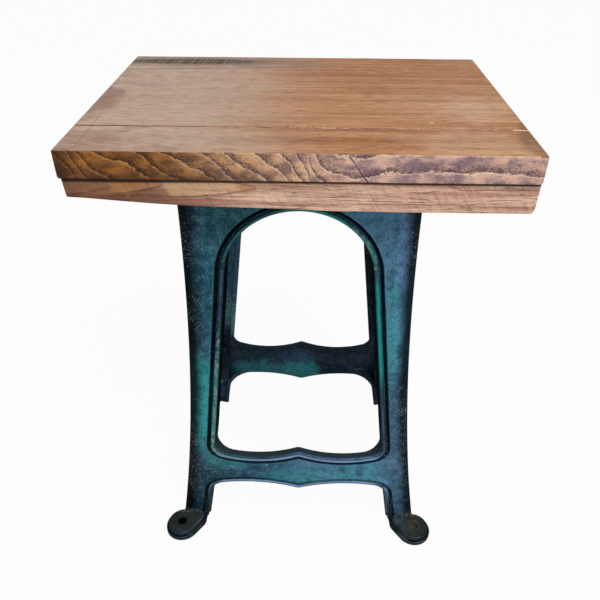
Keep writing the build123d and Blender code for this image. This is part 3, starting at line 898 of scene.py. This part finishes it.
def plank_points(number, front, rear, low, high, half_length, rounds, arris, unevenness, start):
    """Skin of a plank: a rectangle with round corners carried along its length.

    The rectangle draws in over the last millimetres by a circle's height, and its faces and corners
    waver by a sum of sine waves, always inwards. The rear half of the section is the front half turned
    round. Gives rows of points, with masks for the long edges and the ends and the plank's number.
    """
    reach = np.array([0, 0.1, 0.4, 0.9, 1.7, 2.9, 4.6, 7.5])
    inner = np.linspace(-half_length, half_length, 115)[2:-2]
    along = np.concatenate([reach - half_length, inner, half_length - reach[::-1]])
    to_end = half_length - np.abs(along)
    turn = np.linspace(0, np.pi / 2, 6)
    upright = np.linspace(0, 1, 9)[1:-1]
    level = np.linspace(0, 1, 15)[1:-1]
    lean_in = arris * (1 - np.cos(turn))
    drop = arris * (1 - np.sin(turn))
    no_side = np.zeros(len(upright))
    no_top = np.zeros(len(level))
    half_y = np.concatenate([0 * turn, no_side, 0 * turn, level])
    half_z = np.concatenate([0 * turn, upright, 0 * turn + 1, no_top + 1])
    half_in = np.concatenate([lean_in[::-1], no_side, lean_in, no_top])
    half_up = np.concatenate([drop[::-1], no_side, -drop, no_top])
    half_edge = np.concatenate([np.cos(turn[::-1]), no_side + 1, np.cos(turn), no_top])
    looseness = 1 + 0.45 * wavy(along, start + 1)
    shift = unevenness * (1 + wavy(along, start)) / 2
    front_round = rounds["outer" if number == 0 else "joint"]
    rear_round = rounds["outer" if number == 2 else "joint"]
    low_y = front(along) + eased(to_end, front_round) + shift
    high_y = rear(along) - eased(to_end, rear_round) - shift
    low_z = low + eased(to_end, rounds["low"])
    high_z = high - eased(to_end, rounds["high"])
    share_y = np.concatenate([half_y, 1 - half_y])
    share_z = np.concatenate([half_z, 1 - half_z])
    off_y = np.concatenate([half_in, -half_in]) * looseness[:, None]
    off_z = np.concatenate([half_up, -half_up]) * looseness[:, None]
    y = low_y[:, None] + share_y * (high_y - low_y)[:, None] + off_y
    z = low_z[:, None] + share_z * (high_z - low_z)[:, None] + off_z
    points = np.stack([np.broadcast_to(along[:, None], y.shape), y, z], axis=2)
    masks = np.zeros_like(points)
    masks[..., 0] = np.tile(half_edge, 2)
    masks[..., 1] = (to_end < 0.2)[:, None]
    masks[..., 2] = number
    return points, masks


def plank_piece(name, node, points, masks):
    """A plank as a piece of the object, with its ends closed."""
    faces = grid_faces(*points.shape[:2], False, True)
    piece = mesh_piece(name, [(points.reshape(-1, 3), faces, masks.reshape(-1, 3), True)], plank_masks)
    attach(piece, "root")
    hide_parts(node)
    return piece


def straight(value):
    """An edge at one place all along a plank."""
    return lambda along: np.full_like(along, float(value))


lower_planks = []
for number, name in enumerate(plank_names):
    points, masks = plank_points(
        number, straight(under_edges[number]), straight(under_edges[number + 1]), stand_top, layer_z,
        under_half_length, under_rounds, arris=1.6, unevenness=0.0 if name == "middle" else 0.3,
        start=2.3 * number
    )
    x, y, z = points[..., 0], points[..., 1], points[..., 2]
    if name == "front":
        rise = np.interp(x, wane_x, wane_rise)
        waney = stand_top + rise * np.clip(1 - (y + under_half_depth) / wane_depth, 0, 1) ** 0.7
        points[..., 2] = np.maximum(z, np.minimum(waney, layer_z))
    stretch = np.where(x < 0, 1.0, under_right_end / under_half_length)
    lean = np.where(x < 0, under_lean_left, under_lean_right) / under_half_length
    points[..., 0] = x * (stretch - (layer_z - z) * lean)
    lower_planks.append(
        plank_piece("lower_plank_" + name, "under_board_" + name, points, masks)
    )

# Plank grain: streaks, fibres and pores drawn out along the plank
grain_group, (place, plank), out = new_group(
    "plank grain", {"Place": (0, 0, 0), "Plank": 0.0}, ["Streaks", "Fibres", "Pores", "Height"]
)
own = vector("ADD", place, vector("MULTIPLY", plank, (1.7, 0.61, 0.23)))
fibres = cloud(own, (55, 330, 330), 4.0, 0.65)
pores = step(cloud(own, (70, 1300, 1300), 1.0), 0.62, 0.7)
streaks = cloud(own, (2.6, 75, 75), 6.0, 0.62)
join(out, {"Streaks": streaks, "Fibres": fibres, "Pores": pores, "Height": fibres - pores * 0.8})

# Growth rings: from a phase, the dark late wood after each whole number and the pale line before it
ring_group, (place, phase), out = new_group(
    "growth rings", {"Place": (0, 0, 0), "Phase": 0.0}, ["Late", "Early", "Dots"]
)
part_way = calc("FRACT", phase)
join(out, {
    "Late": step(part_way, 0.42, 0.02) * step(part_way, 0.0, 0.04),
    "Early": step(part_way, 0.84, 0.97),
    "Dots": step(cloud(place, (420, 420, 560), 2.0), 0.5, 0.64) * step(part_way, 0.75, 0.1),
})


def tongue(x, z, start, tip, level, half_height):
    """Mask and rim of a pointed tongue of grain: its half height falls with the square of the way along."""
    way = step(x, start, tip, "LINEAR")
    beyond = abs(z - level) - (half_height - way * way * half_height)
    slant = (z - level) * 0.5 + x
    inside_ends = step(slant, start - 0.003, start + 0.006) * step(x, tip, tip - 0.004)
    rim = step(beyond, 0.0026, 0.0008) * step(beyond, -0.0014, 0.0002)
    return step(beyond, 0.0006, -0.0008) * inside_ends, rim * inside_ends


def end_grain(place, number, heart_z):
    """Rings on a plank's end: the distance from the heart of the tree in ring widths, as a colour."""
    heart = point(0.0, number * 0.155 - 0.13, heart_z)
    away = vector("LENGTH", vector("MULTIPLY", vector("SUBTRACT", place, heart), (0, 200, 200)))
    rings = use(ring_group, place, {"Phase": cloud(place, (30, 40, 60), 4.0) * 1.6 + away})
    blotch = step(cloud(place, (60, 50, 90), 4.0), 0.35, 0.65)
    return coats(
        (126, 88, 62),
        (blotch, (162, 116, 82)),
        (rings["Late"], (82, 54, 38), 0.6),
        (rings["Dots"], (70, 46, 34), 0.35),
    )


def end_joint(x, y, middle, slope=0.0):
    """Mask of a joint between planks where it shows at their ends."""
    off_joint = abs(y - (x * slope + middle * MM))
    return step(off_joint, 0.002, 0.001) * step(abs(x), 0.264, 0.27)


lower_wood, shader, place, long_edge, plank_end, plank = new_material("lower planks", *plank_masks)
x, y, z = sides(place)
grain = use(grain_group, place, {"Plank": plank})
front_y = -under_half_depth * MM
to_right = step(x, -0.2, -0.07)
flat_colour = coat((168, 124, 92), grain["Streaks"], (122, 84, 58))
edge_dark = coat((88, 56, 42), to_right, (174, 130, 112))
edge_pale = coat((138, 98, 72), to_right, (226, 190, 164))
edge_blush = coat((112, 66, 48), to_right, (196, 146, 130))
edge_colour = coats(
    edge_dark,
    (step(cloud(place, (6, 30, 150), 6.0, 0.66), 0.36, 0.64), edge_pale),
    (step(cloud(place, (18, 16, 46), 4.0), 0.44, 0.64), edge_blush, 0.45),
)
uneven_z = cloud(place, (30, 10, 60)) * 0.004 + z - 0.002
for start, tip, level, half_height, body in (
    (-0.285, -0.214, 0.698, 0.012, (146, 106, 78)),
    (-0.2245, -0.157, 0.7, 0.013, (178, 130, 84)),
    (-0.158, -0.047, 0.6965, 0.0125, (206, 166, 124)),
):
    inside, rim = tongue(x, uneven_z, start, tip, level, half_height)
    edge_colour = coats(edge_colour, (inside, body, 0.6), (rim, (78, 50, 36), 0.5))
orange = most(
    patch(place, (-0.2, front_y, 0.705), (0.025, 0.03, 0.008), 0.3, 60.0),
    patch(place, (-0.062, front_y, 0.697), (0.014, 0.03, 0.005), 0.2, 60.0),
)
saw_across = vector("DOT_PRODUCT", place, (215, 30, 124))
saw_along = vector("DOT_PRODUCT", place, (16, 0, -28))
saw = cloud(point(saw_across, saw_along, 0.0), (1, 1, 1), 4.0, 0.65)
split = abs(cloud(place, (3.6, 20, 70), 3.0, 0.5) - 0.5)
drawn_cracks = lines_on_front(place, front_y, (
    ((-0.02, 0.6985), (0.03, 0.6975), (0.0427, 0.6925), (0.099, 0.6884), (0.1524, 0.6843)),
    ((0.1103, 0.7013), (0.1275, 0.6934), (0.1513, 0.6931), (0.1702, 0.6979)),
    ((0.1728, 0.7013), (0.1889, 0.6965), (0.26, 0.6978)),
    ((0.0368, 0.6823), (0.1477, 0.6805)),
    ((0.1901, 0.6823), (0.265, 0.685)),
), 0.001, 0.004)
cracks = most(step(split, 0.009, 0.002) * (to_right * 0.5 + 0.15), drawn_cracks * 0.7)
dark_end = patch(place, (-0.278, front_y, 0.692), (0.035, 0.03, 0.03), 0.6, 60.0)
edge_colour = coats(
    edge_colour,
    (orange, (160, 98, 36), 0.5),
    (step(saw, 0.5, 0.68), (112, 76, 64), 0.34),
    (step(saw, 0.46, 0.3), coat((178, 134, 96), to_right, (232, 196, 160)), 0.34),
    (cracks, (84, 54, 50), 0.8),
    (step(z, 0.69, 0.676) * step(x, 0.0, -0.16), (122, 72, 54), 0.45),
    (dark_end, (84, 52, 36), 0.35),
)
# Painted shadow of the upper planks on a strip just under the joint, wider at the left
joint_line_and_shadow = step(z - to_right * 0.0012, (layer_z - 5.6) * MM, (layer_z - 3.2) * MM)
colour = coats(
    flat_colour,
    (step(long_edge, 0.3, 0.7), edge_colour),
    (step(plank_end, 0.3, 0.7), end_grain(place, plank, 0.64)),
    *((end_joint(x, y, seam), joint_brown) for seam in under_edges[1:-1]),
    (grain["Pores"], (84, 54, 38), 0.3),
    (joint_line_and_shadow, (26, 19, 17), 0.9),
)
join(shader, {
    "Base Color": colour,
    "Roughness": saw * 0.2 + 0.5,
    "Specular IOR Level": 0.1,
    "Normal": raised(grain["Height"] + saw - cracks * 1.5, 0.5, 0.0006),
})
for piece in lower_planks:
    piece.data.materials.append(lower_wood)

# Upper planks
# Three planed planks glued over the lower ones, the rear one tapering, with pale filler in the front
# joint. Their tops are sanded and waxed, and their edges show the bold rings of the old wood.
top_half_length = 280
top_half_depth = 208
front_seam = -125
rear_seam_left = 127
rear_seam_right = 168
rear_seam_middle = (rear_seam_left + rear_seam_right) / 2
rear_seam_slope = (rear_seam_right - rear_seam_left) / (2 * top_half_length)
top_rounds = {"outer": 5.0, "joint": 0.5, "low": 3.5, "high": 3.0}
top_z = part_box("top_board_front")[1].z / MM


def rear_seam(along):
    """The rear joint runs straight from its place at the left end to its place at the right end."""
    return rear_seam_middle + rear_seam_slope * along


upper_planks = []
upper_edges = (straight(-top_half_depth), straight(front_seam), rear_seam, straight(top_half_depth))
for number, name in enumerate(plank_names):
    points, masks = plank_points(
        number, upper_edges[number], upper_edges[number + 1], layer_z, top_z, top_half_length, top_rounds,
        arris=0.7 if name == "middle" else 1.5, unevenness=0.0 if name == "middle" else 0.5,
        start=3.1 * number + 0.7
    )
    upper_planks.append(
        plank_piece("upper_plank_" + name, "top_board_" + name, points, masks)
    )

upper_wood, shader, place, long_edge, plank_end, plank = new_material("upper planks", *plank_masks)
x, y, z = sides(place)
top = top_z * MM
grain = use(grain_group, place, {"Plank": plank})

# The waxed top: straight grain, a painted sheen at the left, a weathered grey streak behind
left_sheen = step(cloud(place, (10, 30, 30), 5.0, 0.6) * 0.18 + x, 0.14, -0.06)
mauve = step(cloud(place, (16, 50, 50), 4.0, 0.6), 0.5, 0.68)
flat_colour = coats(
    (178, 131, 92),
    (step(grain["Streaks"], 0.36, 0.66), (140, 90, 54)),
    (step(cloud(place, (6, 20, 20), 4.0, 0.6), 0.42, 0.64), (140, 84, 42), 0.45),
    (left_sheen, (180, 162, 147), 0.72),
    (mauve * left_sheen, (140, 110, 98), 0.45),
)
# The three pale patches at the right are a painted sheen; the dark patches at the ends are the wood's own
# tone
flat_colour = patched(flat_colour, place, (
    ((210, 186, 158), 0.1, (0.21, -0.03, top), (0.13, 0.11, 0.2), 0.3, 30.0),
    ((210, 186, 158), 0.22, (0.225, -0.05, top), (0.06, 0.06, 0.2), 0.3, 30.0),
    ((210, 186, 158), 0.22, (0.205, -0.165, top), (0.09, 0.05, 0.2), 0.3, 30.0),
    ((116, 80, 64), 0.6, (-0.285, -0.01, top), (0.045, 0.1, 0.2), 0.5, 25.0),
    ((116, 80, 64), 0.4, (-0.29, -0.19, top), (0.13, 0.07, 0.2), 0.5, 25.0),
    ((92, 60, 42), 0.6, (0.285, -0.155, top), (0.03, 0.07, 0.2), 0.4, 25.0),
))
greyed = patch(place, (-0.15, 0.175, top), (0.22, 0.036, 0.2), 0.3, 25.0)
teeth_place = point(vector("DOT_PRODUCT", place, (310, -36, 0)), y * 5.0, 0.0)
teeth = step(cloud(teeth_place, (1, 1, 1), 1.0), 0.4, 0.54)
streak = patch(place, (-0.177, 0.177, top), (0.135, 0.021, 0.2), 0.12, 60.0)
cuts = line(place, (-0.2572, -0.0875, top), (-0.2557, -0.1993, top), 0.001, 0.001) * 0.5
cuts = most(cuts, line(place, (-0.2693, 0.0576, top), (-0.2326, 0.0589, top), 0.0011))
for start_x, start_y, end_x, end_y, width in (
    (-0.28, front_seam, -0.03, front_seam, 0.0018),
    (-0.03, front_seam, 0.28, front_seam, 0.001),
    (-0.28, rear_seam_left, 0.0, rear_seam_middle, 0.0022),
    (0.0, rear_seam_middle, 0.28, rear_seam_right, 0.0014),
):
    seam = line(place, (start_x, start_y * MM, top), (end_x, end_y * MM, top), width, 0.0016)
    cuts = most(cuts, seam)
filler = patch(place, (0.1639, -0.1021, top), (0.0042, 0.002, 0.01), 0.2, 300.0)
for start_x, end_x in ((-0.012, 0.034), (0.138, 0.15), (0.222, 0.24), (0.262, 0.279)):
    bit = line(place, (start_x, front_seam * MM, top), (end_x, front_seam * MM, top), 0.0013, 0.003)
    filler = most(filler, bit * step(teeth, 0.0, 0.6))
fresh = patch(place, (-0.264, 0.038, top), (0.012, 0.008, 0.01), 0.6, 90.0)
flat_colour = coats(
    flat_colour,
    (step(grain["Fibres"], 0.5, 0.7), (112, 76, 56), 0.52),
    (step(grain["Fibres"], 0.48, 0.3), (208, 174, 138), 0.32),
    (greyed, (116, 98, 84), 0.6),
    (streak * (teeth * 0.5 + 0.46), (48, 43, 37)),
    (cuts, (74, 44, 34), 0.72),
    (filler, (220, 210, 202), 0.75),
    (fresh, (196, 180, 164), 0.4),
)

# The edges: bold slanting rings at the left and middle that level out into one long band at the right
ring_starts = [
    (0, 0), (0.032, 0.076), (0.052, 0.152), (0.086, 0.227), (0.167, 0.303), (0.223, 0.379), (0.301, 0.455),
    (0.349, 0.53), (0.406, 0.606), (0.466, 0.682), (0.494, 0.758), (0.518, 0.833), (0.53, 0.909),
    (0.59, 0.992), (0.7, 0.981), (0.82, 0.973), (0.918, 0.977), (1, 0.992),
]
length_share = step(x, -top_half_length * MM, top_half_length * MM, "LINEAR")
ring_run = add(place.tree, "FloatCurve", {1: length_share})
ring_curve = ring_run.mapping.curves[0]
ring_curve.points[-1].location = ring_starts[-1]
for where in ring_starts[1:-1]:
    ring_curve.points.new(*where)
ring_run.mapping.update()
depth_share = step(z, top, layer_z * MM, "LINEAR")
phase = Value(ring_run.outputs[0]) * 13.2 - depth_share * 1.5 - 0.66
phase = phase + cloud(place, (24, 10, 50), 4.0) * 0.9 + cloud(place, (210, 60, 290), 4.0, 0.65) * 0.42
rings = use(ring_group, place, {"Phase": phase})
# darker towards the left end: partly the wood's own tone and partly painted shade
to_right = step(x, -0.18, -0.02)
far_right = step(x, -0.06, 0.09)
pale_wood = coat((154, 100, 50), to_right, coat((208, 164, 124), far_right, (210, 170, 150)))
dark_wood = coat((100, 65, 40), to_right, coat((138, 104, 88), far_right, (134, 110, 118)))
early = rings["Early"] * (step(cloud(place, (120, 60, 200), 4.0), 0.36, 0.56) * 0.5 + 0.15)
late = rings["Late"] * (step(cloud(place, (330, 200, 420), 3.0, 0.7), 0.36, 0.58) * 0.55 + 0.4)
crack_run = ((0.0573, 0.737), (0.0795, 0.706))
edge_crack = lines_on_front(place, -top_half_depth * MM, (crack_run,), 0.0014, 0.005)
# Painted shade along the lower part of the edges at the left; the far left end is darker in its own tone
foot_shade = step(depth_share, 0.55, 1.0) * step(x, 0.02, -0.1)
edge_colour = coats(
    pale_wood,
    (step(cloud(place, (46, 30, 90), 5.0, 0.66), 0.36, 0.64), dark_wood),
    (early, coat((186, 138, 82), to_right, (236, 208, 176))),
    (late, coat((56, 36, 27), to_right, (98, 78, 82))),
    (rings["Dots"], coat((34, 22, 18), to_right, (64, 48, 52)), 0.7),
    (edge_crack, (66, 44, 38), 0.8),
    (most(step(x, -0.242, -0.276) * 0.75, foot_shade * 0.55), (50, 35, 27)),
)
below_top = step(z, top - 0.0005, top - 0.002)
# a dark joint line along the foot of the upper planks
joint_line_and_shadow = step(z, (layer_z + 1.6) * MM, (layer_z + 0.4) * MM)
colour = coats(
    flat_colour,
    (step(long_edge, 0.3, 0.7), edge_colour),
    (step(plank_end, 0.3, 0.7), end_grain(place, plank, 0.79)),
    (end_joint(x, y, front_seam) * below_top, joint_brown),
    (end_joint(x, y, rear_seam_middle, rear_seam_slope) * below_top, joint_brown),
    (grain["Pores"], (92, 60, 42), 0.3),
    (joint_line_and_shadow, joint_brown, 0.7),
)
join(shader, {
    "Base Color": colour,
    "Roughness": long_edge * 0.1 + grain["Fibres"] * 0.22 + 0.36,
    "Specular IOR Level": 0.05,
    "Normal": raised(grain["Height"] - rings["Dots"] * long_edge - cuts * 1.5, 0.4, 0.0005),
})
for piece in upper_planks:
    piece.data.materials.append(upper_wood)

# Floor, light and camera
# A plain white floor that runs into a white background, soft light from above and the front, and the
# view from which the table is seen.
floor_reach = 6
floor_corners = [(-1, -1), (1, -1), (1, 1), (-1, 1)]
floor_mesh = bpy.data.meshes.new("floor")
floor_places = [(floor_reach * u, floor_reach * v, 0) for u, v in floor_corners]
floor_mesh.from_pydata(floor_places, [], [(0, 1, 2, 3)])
floor = bpy.data.objects.new("floor", floor_mesh)
bpy.context.scene.collection.objects.link(floor)


def seen(tree):
    """1 for the rays by which a surface is looked at, straight, in a reflection or through glass."""
    rays = add(tree, "LightPath", {}).outputs
    return most(*(Value(rays[kind]) for kind in ("Is Camera Ray", "Is Glossy Ray", "Is Transmission Ray")))


floor_white, shader, place = new_material("white floor")
tree = place.tree
join(shader, {"Base Color": (0.8, 0.8, 0.8, 1), "Roughness": 0.9, "Specular IOR Level": 0.0})
glow = add(tree, "Emission", {"Color": (1, 1, 1, 1), "Strength": 1.0})
shaders = {0: seen(tree) * 0.95, 1: Value(shader.outputs[0]), 2: Value(glow.outputs[0])}
mixed = add(tree, "MixShader", shaders)
join(tree.nodes["Material Output"], {"Surface": Value(mixed.outputs[0])})
floor_mesh.materials.append(floor_white)

world = bpy.data.worlds.new("studio")
bpy.context.scene.world = world
world.use_nodes = True
tree = world.node_tree
join(tree.nodes["Background"], {"Color": (1, 1, 1, 1), "Strength": seen(tree) * 0.4 + 0.6})

lamp_place = Vector((0.9, -1.4, 2.9))
lamp_target = Vector((0, 0, 0.5))
light = bpy.data.lights.new("key", "AREA")
light.size = 1.4
light.energy = 52
lamp = bpy.data.objects.new("key", light)
lamp.location = lamp_place
lamp.rotation_euler = (lamp_target - lamp_place).to_track_quat("-Z", "Y").to_euler()
bpy.context.scene.collection.objects.link(lamp)

camera_place = (0.0139, -0.8598, 1.0039)
camera_pitch = np.radians(35.43)
camera_yaw = np.radians(-1.01)
camera_roll = np.radians(0.33)
camera = bpy.data.objects.new("camera", bpy.data.cameras.new("camera"))
camera.data.lens = 36.84
camera.data.sensor_width = 36
camera.matrix_world = (
    Matrix.Translation(camera_place)
    @ Matrix.Rotation(-camera_yaw, 4, "Z")
    @ Matrix.Rotation(np.pi / 2 - camera_pitch, 4, "X")
    @ Matrix.Rotation(camera_roll, 4, "Z")
)
bpy.context.scene.collection.objects.link(camera)
bpy.context.scene.camera = camera
bpy.context.scene.view_settings.view_transform = "Standard"
